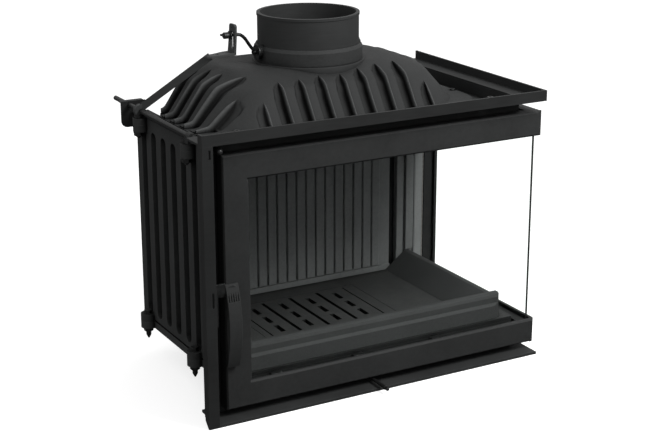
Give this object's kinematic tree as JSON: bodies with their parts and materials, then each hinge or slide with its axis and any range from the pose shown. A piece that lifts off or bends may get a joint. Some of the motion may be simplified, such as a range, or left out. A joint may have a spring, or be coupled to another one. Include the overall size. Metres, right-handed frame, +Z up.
{
  "type": "fireplace insert",
  "caption": "Cast-iron fireplace insert: L-shaped hinged glass door on two sides, grooved hood, round flue spigot with pull-rod damper, air slide, surround frame",
  "frame": {"origin": "on the floor, straight below the axis of the flue spigot", "axes": "+Z up; the front, with the large pane, the handle and the surround's lip, faces -Y; +X points to the glazed side"},
  "size_m": [0.709, 0.5075, 0.661],
  "materials": {
    "cast_iron": "matt black cast surface",
    "painted_steel": "matt heat-resistant paint",
    "plain_steel": "plain steel",
    "blackened_steel": "blackened steel",
    "dark_iron": "matt dark cast surface",
    "glass": "clear heat-resistant ceramic glass",
    "seal": "woven fibre rope",
    "black_seal": "matt black"
  },
  "bodies": {
    "body": {"facade_top_angle": "painted_steel", "facade_side_angle": "painted_steel", "facade_left_post": "painted_steel", "facade_base_plate": "painted_steel", "facade_screws": "blackened_steel", "front_header": "painted_steel", "left_jamb": "painted_steel", "front_sill": "cast_iron", "left_side_panel": "cast_iron", "back_panel": "dark_iron", "right_rear_post": "cast_iron", "top_frame": "cast_iron", "hearth_base": "dark_iron", "base_box": "dark_iron", "fire_grate": "dark_iron", "log_retainer": "cast_iron", "fireback": "dark_iron", "left_liner": "dark_iron", "corner_liner": "dark_iron", "baffle_plate": "dark_iron", "baffle_supports": "dark_iron", "ash_pan": "plain_steel", "tie_bolts": "blackened_steel", "tie_nuts": "blackened_steel", "hood": "cast_iron", "hood_screws": "blackened_steel", "flue_boss": "cast_iron", "flue_spigot": "painted_steel", "rod_front_guide": "painted_steel", "rod_rear_bracket": "painted_steel", "air_grid": "dark_iron", "hinge_brackets": "cast_iron", "hinge_pins": "plain_steel", "latch_catch": "blackened_steel", "catch_screws": "blackened_steel"},
    "door": {"door_frame": "cast_iron", "front_glass": "glass", "side_glass": "glass", "glass_corner_seal": "black_seal", "glass_clips": "blackened_steel", "clip_screws": "blackened_steel", "door_rope_seal": "seal"},
    "handle": {"door_handle": "painted_steel", "handle_shaft": "blackened_steel", "handle_nut": "blackened_steel", "latch_tongue": "blackened_steel"},
    "damper_pull": {"damper_pull_rod": "blackened_steel", "damper_knob": "painted_steel", "damper_strap": "painted_steel", "damper_fork": "painted_steel"},
    "damper": {"damper_shaft": "blackened_steel", "damper_plate": "dark_iron", "damper_plate_screws": "plain_steel", "damper_hub": "blackened_steel", "crank_wing_nut": "blackened_steel"},
    "air_control": {"air_slider": "plain_steel", "air_control_rod": "blackened_steel"}
  },
  "joints": [
    {"name": "door_hinge", "type": "hinge", "parent": "body", "child": "door", "pos_m": [0.344, 0.132, 0.25], "axis": [0, 0, 1], "range_deg": [0, 90]},
    {"name": "handle_turn", "type": "hinge", "parent": "door", "child": "handle", "pos_m": [-0.296, -0.25, 0.243], "axis": [0, -1, 0], "range_deg": [-6, 60]},
    {"name": "damper_pull_slide", "type": "slide", "parent": "body", "child": "damper_pull", "axis": [0, 1, 0], "range_m": [-0.014, 0.036]},
    {"name": "damper_turn", "type": "hinge", "parent": "body", "child": "damper", "pos_m": [0, 0, 0.594], "axis": [-1, 0, 0], "range_deg": [-21.1, 54.1]},
    {"name": "air_slide", "type": "slide", "parent": "body", "child": "air_control", "axis": [0, -1, 0], "range_m": [0, 0.04]}
  ],
  "couplings": [
    {"joint": "damper_turn", "follows": "damper_pull_slide", "rad_per_m": 26.2}
  ]
}
